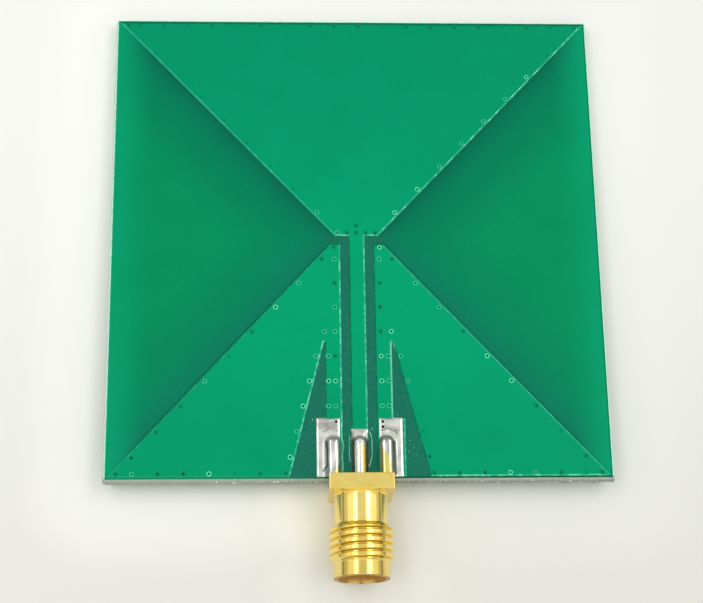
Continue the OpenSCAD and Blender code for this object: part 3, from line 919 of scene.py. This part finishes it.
def goldFinish():
    finish = Finish("goldPlate")
    spot = finish.spot()
    x, y, z = finish.axes(spot)
    ring = x * x + z * z  # square of the distance from the jack's axis
    smear = finish.noise(spot, 1.1, 3, 0.55)
    grain = finish.noise(finish.stretched(spot, 0.5, 26, 0.5), 1.0, 2)  # fine rings left by the turning
    rimAndThread = 1 - finish.ease(y, 5.1, 5.3)  # the rim and thread are deeper and duller than the neck
    gold = finish.fade(smear, 0.3, 0.7, goldTints["deep"], goldTints["pale"])
    gold = finish.mix(rimAndThread * 0.7, gold, goldTints["rimAndThread"])
    gold = finish.mix((1 - finish.ease(y, 1.3, 1.4)) * 0.5, gold, goldTints["rim"])
    # painted shade in the thread's roots
    groove = (1 - finish.ease(ring, 8.2, 9.4)) * finish.ease(y, 1.45, 1.6) * (1 - finish.ease(y, 5.15, 5.25))
    gold = finish.mix(groove * 0.3, gold, goldTints["groove"])
    sides = finish.ease(abs(x), 1.85, 2.2) * (1 - finish.ease(y, 8.0, jack["flangeFront"]))
    gold = finish.mix(sides * 0.74, gold, goldTints["sideSheen"])  # painted sheen: the barrel is pale at its sides
    streak = finish.noise(finish.stretched(spot, 3.2, 0.45, 3.2), 1.0, 2)
    tin = finish.fade(streak, 0.36, 0.6, tint(184, 186, 180), tint(244, 245, 241))
    tin = finish.mix(finish.ease(y, edgeY + 3.2, edgeY + 3.9) * 0.45, tin, tint(140, 142, 136))
    ragged = (smear - 0.5) * 1.2
    # the left leg is wetted all over; the right one keeps gold at its root and on its inner side
    leftReach = finish.ease(y - (x + 2.35) * 1.6 + ragged * 0.4, edgeY + 0.75, edgeY + 1.15)
    rightReach = finish.ease(y + (x - 2.645) * 1.9 + ragged, edgeY + 1.9, edgeY + 2.7)
    wet = finish.most(leftReach * (1 - finish.ease(x, -0.6, -0.5)), rightReach * finish.ease(x, 0.5, 0.6))
    face = 1 - finish.ease(y, 0.01, 0.07)
    hollow = finish.most(face, 1 - finish.ease(ring, 5.4, 5.8))
    # painted shade inside the mouth, darker deeper in, and a painted dark reflection on its front lip
    inside = finish.fade(y, 0.1, 1.6, goldTints["mouth"], goldTints["throat"])
    inside = finish.mix(face, inside, goldTints["lip"])
    glintZ = jack["lipGlintLevel"]
    for left, right in jack["lipGlints"]:
        glint = finish.stroke(x, z, (left, glintZ), (right, glintZ), jack["lipGlintReach"])
        inside = finish.mix(glint * (1 - finish.ease(y, 0.15, 0.4)), inside, goldTints["glint"])
    return finish.give(
        Base_Color=finish.mix(wet, finish.mix(hollow, gold, inside), tin),
        Metallic=1 - hollow * (1 - face) * 0.6,
        Roughness=0.08 + smear * 0.06 + rimAndThread * 0.05 + wet * 0.07 + hollow * 0.17,
        Normal=finish.bump(grain * (1 - wet) + smear * wet, 0.08, 0.02))


def makeThread():
    pitch = jack["threadPitch"]
    start = jack["rimEnd"] - (2 - jack["threadPhase"]) * pitch  # runs past both ends and is trimmed
    drawOutline([(r, start + share * pitch, 0) for r, share in jack["threadTurn"]])
    endEdit()
    thread = named("jackThread")
    turns = math.ceil((jack["threadEnd"] - jack["rimEnd"]) / pitch) + 4
    applyModifier(
        thread, "SCREW", axis="Y", angle=2 * math.pi, screw_offset=pitch, iterations=turns,
        steps=jack["sides"], render_steps=jack["sides"], use_merge_vertices=True, merge_threshold=weld)
    startEdit(thread)
    bpy.ops.mesh.remove_doubles(threshold=weld)
    trim = jack["threadTrim"]
    for level, way in ((jack["rimEnd"] - trim, -1), (jack["threadEnd"] + trim, 1)):
        cutAll((0, level, 0), (0, way, 0), use_fill=True, clear_outer=True)
    faceOut()
    endEdit()
    envelope = turned("threadEnvelope", jack["threadOutline"], jack["sides"] + 6, "Y")
    combine(thread, envelope, "INTERSECT")
    return thread


def makeFlange():
    half = jack["flangeHalf"]
    flange = addBlock("jackBody", (-half, jack["flangeFront"], -half), (half, edgeY, half))
    startEdit(flange)
    pick("EDGE", lambda edge: abs(edge.verts[0].co.y - edge.verts[1].co.y) > 0.5)
    bpy.ops.mesh.bevel(offset=jack["flangeCorner"], segments=2)
    pick("FACE", lambda face: abs(face.normal.y) > 0.9)
    bpy.ops.mesh.region_to_loop()
    bpy.ops.mesh.bevel(offset=jack["flangeBevel"], segments=2)
    endEdit()
    return flange


def makeLeg(x, side):  # side 1 lies on the front of the board, -1 on the back
    half, low = jack["legHalf"], frontCopperZ + jack["legFilm"]
    high = low + jack["legHeight"]
    root = edgeY - jack["legInFlange"]
    leg = addBlock("jackLeg", (x - half, root, low), (x + half, jack["legEnd"], high))
    startEdit(leg)
    cutAll((0, (root + edgeY) / 2, 0), (0, 1, 0))
    cutAll((0, jack["legEnd"] - jack["legRound"], 0), (0, 1, 0))
    cutAll((0, 0, high - jack["legShoulder"]), (0, 0, 1))
    cutAll((x, 0, 0), (1, 0, 0))
    pick("EDGE", lambda edge: all(point.co.z < low + 0.01 for point in edge.verts))
    bpy.ops.transform.edge_crease(value=1)
    endEdit()
    applyModifier(leg, "SUBSURF", levels=3)
    if side < 0:
        turnOver(leg)
    return leg


rimPiece = turned("jackRim", jack["rimOutline"], jack["sides"] + 4, "Y")
neckPiece = turned("jackNeck", jack["neckOutline"], jack["sides"] + 4, "Y")
jackBody = makeFlange()
legX = jack["legX"]
for side in (1, -1):
    for x in (-legX, legX):
        combine(jackBody, makeLeg(x, side), "UNION")
for added in (neckPiece, makeThread(), rimPiece):  # unlike side counts keep the unions clean
    combine(jackBody, added, "UNION")
toolStart = (0, -jack["toolReach"], 0)
for toolName, radius, depth in (
        ("boreTool", jack["bore"], edgeY + jack["toolReach"]),
        ("mouthTool", jack["mouth"], jack["mouthDepth"])):
    combine(jackBody, addBar(toolName, radius, toolStart, (0, depth, 0), "Y", jack["sides"]), "DIFFERENCE")
dress(jackBody, goldFinish())
smoothBy(jackBody, jack["smoothUnder"])
settle(jackBody, "gold_plate", "jack_body")


# solder on the pads
solderPlan = {
    "film": 0.05,
    "cells": (46, 118),
    "legClimb": 0.5,
    "legReach": 0.62,
    "tailClimb": 0.42,
    "tailReach": 0.5,
    "tailCap": (0.32, 0.2, 0.24, 0.5),  # back from the tail's end, radius, lift and fade
    "legShare": 0.98,  # of the leg's and the tail's width, under which the film climbs
    "tailShare": 0.82,
    "tailShort": 0.45,
    "swell": 0.03,
    "swells": 7,
    "swellSpot": 0.06,
    "edgeDrop": -0.035,
    "edgeFade": 0.16,
    "viaBore": 0.14,
    "viaReach": 0.5,
    "viaSides": 20,
    "shell": 0.05,
    "smoothUnder": 40,
    "seeds": {"front": 20, "back": 40, "centre": 33},
    "paintedShadeMarks": [  # painted shade and dark reflections: strength, width, then points across and along
        (0.55, 0.15, (2.13, 4.94), (2.75, 5.14), (3.47, 4.89), (3.7, 4.64)),
        (0.3, 0.3, (2.5, 5.3), (3.7, 5.0)),
        (0.72, 0.26, (3.36, 3.7), (3.42, 2.3), (3.5, 0.6)),
        (0.5, 0.16, (2.0, 3.8), (2.2, 4.2), (2.62, 4.32), (3.05, 4.2), (3.24, 3.8), (3.26, 1.0)),
        (0.36, 0.5, (-3.85, 5.45), (-2.5, 5.5)),
        (0.42, 0.12, (-3.6, 4.84), (-2.44, 5.36)),
        (0.3, 0.3, (-2.9, 5.2), (-2.3, 5.0)),
        (0.7, 0.18, (-3.3, 3.75), (-3.17, 2.33), (-3.17, 1.36), (-3.6, 0.9)),
        (0.2, 0.12, (-3.1, 4.1), (-2.15, 4.2)),
        (0.8, 0.34, (-0.86, 4.7), (-0.78, 3.6), (-0.74, 0.5)),
        (0.7, 0.32, (0.9, 4.6), (0.82, 3.6), (0.78, 0.5)),
        (0.25, 0.14, (-0.6, 4.0), (0.0, 4.12), (0.6, 4.0)),
    ],
}


def solderFinish():
    finish = Finish("tinSolder")
    spot = finish.spot()
    x, y, z = finish.axes(spot)
    flow = finish.noise(spot, 0.8, 2, 0.5, 0.6)
    grain = finish.noise(spot, 7.0, 2, 0.5)
    colour = finish.ramp(
        flow, (0.3, 183, 184, 177), (0.5, 203, 205, 198), (0.7, 213, 215, 208))
    wander = (grain - 0.5) * 0.05
    shade = 0.0
    # painted shade and dark reflections beside the legs and in the fillets' hollows
    for strength, width, *line in solderPlan["paintedShadeMarks"]:
        for start, end in zip(line, line[1:]):
            mark = finish.stroke(x + wander, y - edgeY + wander, start, end, width)
            shade = finish.most(shade, mark * strength)
    shade *= finish.ease(z, middleZ, middleZ + 0.3)  # on the front only
    return finish.give(
        Base_Color=finish.mix(shade, colour, tint(46, 48, 44)),
        Metallic=0.9 + grain * 0.1,
        Roughness=0.24 + flow * 0.14 + grain * 0.04,
        Normal=finish.bump(flow * 0.8 + grain * 0.05, 0.15, 0.08))


tinSolder = solderFinish()


def makeSolder(name, low, high, underLeg, climb, reach, vias, seed, cap=None):
    # a film on the pad, drawn up to the leg with a hollow fillet
    across, along = solderPlan["cells"]
    startFrom(bpy.ops.mesh.primitive_grid_add, x_subdivisions=across, y_subdivisions=along, size=1)
    piece = named(name)
    bpy.ops.transform.resize(value=(high.x - low.x, high.y - low.y, 1))
    level = frontCopperZ + solderPlan["film"]
    bpy.ops.transform.translate(value=((low.x + high.x) / 2, (low.y + high.y) / 2, level))
    pick("VERT", lambda point: underLeg(point.co.x, point.co.y))
    lift(climb, "SHARP", reach)
    if cap:
        back, radius, rise, fade = cap
        crown = Vector((0, contactHigh.y - back))
        pick("VERT", lambda point: (point.co.xy - crown).length < radius)
        lift(rise, "SMOOTH", fade)
    draws = random.Random(seed)
    for i in range(solderPlan["swells"]):  # swells and hollows of the molten film
        swell = Vector((draws.uniform(low.x, high.x), draws.uniform(low.y, high.y)))
        rise, size = draws.uniform(-0.5, 1) * solderPlan["swell"], draws.uniform(0.25, 0.6)
        pick("VERT", lambda point: (point.co.xy - swell).length < solderPlan["swellSpot"])
        lift(rise, "SMOOTH", size)
    pick("EDGE", lambda edge: edge.is_boundary)  # thin at the pad's outline
    lift(solderPlan["edgeDrop"], "ROOT", solderPlan["edgeFade"])
    endEdit()
    applyModifier(piece, "SOLIDIFY", thickness=solderPlan["shell"], offset=-1)
    for x, y in vias:
        ends = [(x, y, level + way * solderPlan["viaReach"]) for way in (-1, 1)]
        drill = addBar("padDrill", solderPlan["viaBore"], *ends, "Z", solderPlan["viaSides"])
        combine(piece, drill, "DIFFERENCE")
    dress(piece, tinSolder)
    smoothBy(piece, solderPlan["smoothUnder"])
    return piece


def underLegAt(x):
    tip = jack["legEnd"] - jack["legHalf"]
    half = jack["legHalf"] * solderPlan["legShare"]

    def inside(px, py):
        return abs(px - x) < half and py < tip or math.hypot(px - x, py - tip) < half
    return inside


def underTail(px, py):
    half = (contactHigh.x - contactLow.x) / 2 * solderPlan["tailShare"]
    tip = contactHigh.y - solderPlan["tailShort"]
    return abs(px) < half and py < tip or math.hypot(px, py - tip) < half


for sideName, side in (("Left", -1), ("Right", 1)):
    low, high = [Vector(corner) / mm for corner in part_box("front_" + sideName.lower() + "_solder")]
    holes = [(side * x, edgeY + v) for x, v in padVias(padCounts[side])]
    for faceName in ("front", "back"):
        piece = makeSolder(
            faceName + sideName + "Solder", low, high, underLegAt(side * legX), solderPlan["legClimb"],
            solderPlan["legReach"], holes, solderPlan["seeds"][faceName] + side)
        if faceName == "back":
            turnOver(piece)
        settle(piece, "solder", faceName + "_" + sideName.lower() + "_solder")
centreSolder = makeSolder(
    "centreSolder", stripLow, stripHigh, underTail, solderPlan["tailClimb"], solderPlan["tailReach"], [],
    solderPlan["seeds"]["centre"], solderPlan["tailCap"])
settle(centreSolder, "solder", "centre_solder")


# finishes of the CAD nodes that stay
def copperFinish():
    finish = Finish("copperFoil")
    spot = finish.spot()
    stain = finish.noise(spot, 1.3, 3)
    return finish.give(
        Base_Color=finish.fade(stain, 0.35, 0.65, tint(196, 120, 78), tint(222, 150, 104)),
        Metallic=0.9 + stain * 0.1,
        Roughness=0.28 + stain * 0.15,
        Normal=finish.bump(finish.noise(spot, 14, 2), 0.1, 0.01))


def insulatorFinish():
    finish = Finish("whiteInsulator", Specular_IOR_Level=0.3)
    spot = finish.spot()
    wax = finish.noise(spot, 0.9, 2)
    rings = finish.noise(finish.stretched(spot, 0.3, 12, 0.3), 1, 2)
    return finish.give(
        Base_Color=finish.mix(wax, tint(232, 230, 222), tint(246, 245, 240)),
        Roughness=0.42 + wax * 0.12,
        Normal=finish.bump(rings, 0.1, 0.02))


def contactFinish():
    finish = Finish("wettedContact")
    spot = finish.spot()
    x, y = finish.axes(spot)[:2]
    smear = finish.noise(spot, 1.3, 3, 0.55)
    gold = finish.fade(smear, 0.3, 0.7, goldTints["deep"], goldTints["pale"])
    tin = finish.fade(smear, 0.3, 0.7, tint(206, 205, 195), tint(228, 227, 219))
    farEnd = finish.ease(y, edgeY + 3.1, edgeY + 3.8)
    leftSide = 1 - finish.ease(x + (smear - 0.5) * 0.3, 0.02, 0.24)
    wet = finish.most(farEnd, leftSide) * finish.ease(y - x * 0.8, edgeY + 0.1, edgeY + 0.7)
    tip = finish.ease(y, contactHigh.y - 0.5, contactHigh.y - 0.2)  # drowned in dull solder
    return finish.give(
        Base_Color=finish.mix(tip * 0.5, finish.mix(wet, gold, tin), tint(120, 121, 115)),
        Metallic=1 - wet * 0.05,
        Roughness=0.12 + smear * 0.08 + wet * 0.06 + tip * 0.3,
        Normal=finish.bump(smear, 0.04, 0.03))


copperFoil = copperFinish()
keptFinishes = {"insulator": insulatorFinish(), "centre_contact": contactFinish()}
for nodeName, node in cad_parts.items():
    if not node.hide_render:
        dress(node, keptFinishes.get(nodeName, copperFoil))
print("finishes on the nodes that stay")


# table, light and camera
tablePlan = {  # the flange's lower edge and the board's far edge rest on it
    "size": 1.6,
    "frontY": jack["flangeFront"],
    "frontZ": -jack["flangeHalf"],
    "backY": 59.6,
    "backZ": backLow.z,
    "gap": 0.004,
}
tilt = math.atan2(tablePlan["backZ"] - tablePlan["frontZ"], tablePlan["backY"] - tablePlan["frontY"])
startFrom(bpy.ops.mesh.primitive_plane_add, size=tablePlan["size"])
endEdit()
table = named("paleTable")
table.rotation_euler.x = tilt
table.location = (0, tablePlan["frontY"] * mm, (tablePlan["frontZ"] - tablePlan["gap"]) * mm)


def tableFinish():
    finish = Finish("paleTable", Specular_IOR_Level=0.1)
    spot = finish.spot()
    cloud = finish.noise(spot, 0.01, 2)
    x, y = finish.axes(spot)[:2]
    # painted light falloff, darker towards the jack's end and to the right
    falling = (1 - finish.ease(y, -25, 45)) * 0.7 + finish.ease(x, -60, 60) * 0.3
    paintedFalloff = finish.mix(falling, tint(240, 240, 237), tint(219, 219, 212))
    offX, offY = finish.most(abs(x) - 25, 0.0), finish.most(abs(y - 26.6) - 25, 0.0)
    nearBoard = 1 - finish.ease(offX * offX + offY * offY, 0, 90)
    near = finish.most(nearBoard, finish.stroke(x, y, (0, -7), (0, 0), 11))  # painted bounce light near the board and in front of the jack
    lifted = finish.mix(near * (0.5 - finish.ease(x, -20, 20) * 0.35), paintedFalloff, tint(249, 249, 242))
    # painted warm light beside the jack, as if thrown off the gold
    besideJack = finish.stroke(x, y, (-4, 0), (-4, 6), 7)
    lifted = finish.mix(besideJack * 0.6, lifted, tint(254, 253, 236))
    underMouth = finish.stroke(x, y, (-1.4, -0.9), (1.4, -0.9), 1.6)  # a warm shade
    return finish.give(
        Base_Color=finish.mix(underMouth * 0.5, lifted, tint(205, 193, 158)),
        Roughness=0.7 + cloud * 0.05)


dress(table, tableFinish())

lightPlan = {
    "distance": 0.5,
    "middleY": 0.1,
    "length": 0.38,
    "banks": {  # first and last angle from overhead to the right, and brightness
        "leftBank": (-61, -32, 0.45),
        "leftKey": (-32, -19, 2.3),
        "middle": (-19, 20, 0.1),
        "rightKey": (20, 38, 2.3),
        "rightBank": (39, 66, 0.45),
    },
    "glints": {  # seen in the metal only
        "leftGlint": (-31, -20, 0.7),
        "rightGlint": (21, 37, 1.0),
    },
    "glintShare": 0.97,  # of the distance, in front of the keys
    "sky": 0.755,
    "horizon": 0.3,
}
for name, (first, last, brightness) in (lightPlan["banks"] | lightPlan["glints"]).items():
    lamp = bpy.data.lights.new(name, "AREA")
    lamp.shape = "RECTANGLE"
    across = 2 * lightPlan["distance"] * math.tan(math.radians(last - first) / 2)
    lamp.size, lamp.size_y = lightPlan["length"], across
    lamp.energy = brightness * math.pi * across * lightPlan["length"]
    holder = bpy.data.objects.new(name, lamp)
    holder.visible_diffuse = name not in lightPlan["glints"]
    bpy.context.scene.collection.objects.link(holder)
    turn = math.radians((first + last) / 2)
    place = Vector((math.sin(turn), 0, math.cos(turn))) * lightPlan["distance"]
    place *= lightPlan["glintShare"] if name in lightPlan["glints"] else 1
    holder.location = place + Vector((0, lightPlan["middleY"], 0))
    holder.rotation_euler = (-place).to_track_quat("-Z", "Y").to_euler()

world = bpy.data.worlds.new("studio")
bpy.context.scene.world = world
world.use_nodes = True
sky = NodeMaker(world.node_tree)
towards = sky.node("ShaderNodeTexCoord")
dirX, dirY, dirZ = sky.axes(towards)
low = (1 - sky.ease(dirZ, 0.1, 0.24)) * sky.ease(abs(dirX), 0.45, 0.75)  # the room is dark to the sides
level = (lightPlan["sky"] - low * (lightPlan["sky"] - lightPlan["horizon"])) * (1.04 - dirY * 0.4)
glow = sky.mix(level * 0.5, (0, 0, 0, 1), (2, 2, 1.96, 1))  # half of a double white, as shares end at 1
sky.tree.links.new(glow.socket, sky.tree.nodes["Background"].inputs["Color"])

cameraPlan = {  # fitted to the board's corners
    "lens": 88.18,
    "sensor": 36,
    "clipStart": 0.005,
    "place": (-8.407, -27.984, 164.245),
    "right": (0.99898952, -0.01514464, 0.04231519),
    "down": (-0.00066295, -0.94637876, -0.3230585),
    "forward": (0.0449388, 0.32270401, -0.94543251),
}
lens = bpy.data.cameras.new("photoCamera")
lens.lens, lens.sensor_width = cameraPlan["lens"], cameraPlan["sensor"]
lens.clip_start = cameraPlan["clipStart"]
camera = bpy.data.objects.new("photoCamera", lens)
bpy.context.scene.collection.objects.link(camera)
axes = Matrix((cameraPlan["right"], -Vector(cameraPlan["down"]), -Vector(cameraPlan["forward"]))).transposed()
camera.matrix_world = Matrix.Translation(Vector(cameraPlan["place"]) * mm) @ axes.to_4x4()
bpy.context.scene.camera = camera
bpy.context.scene.view_settings.view_transform = "Standard"

print("scene ready")
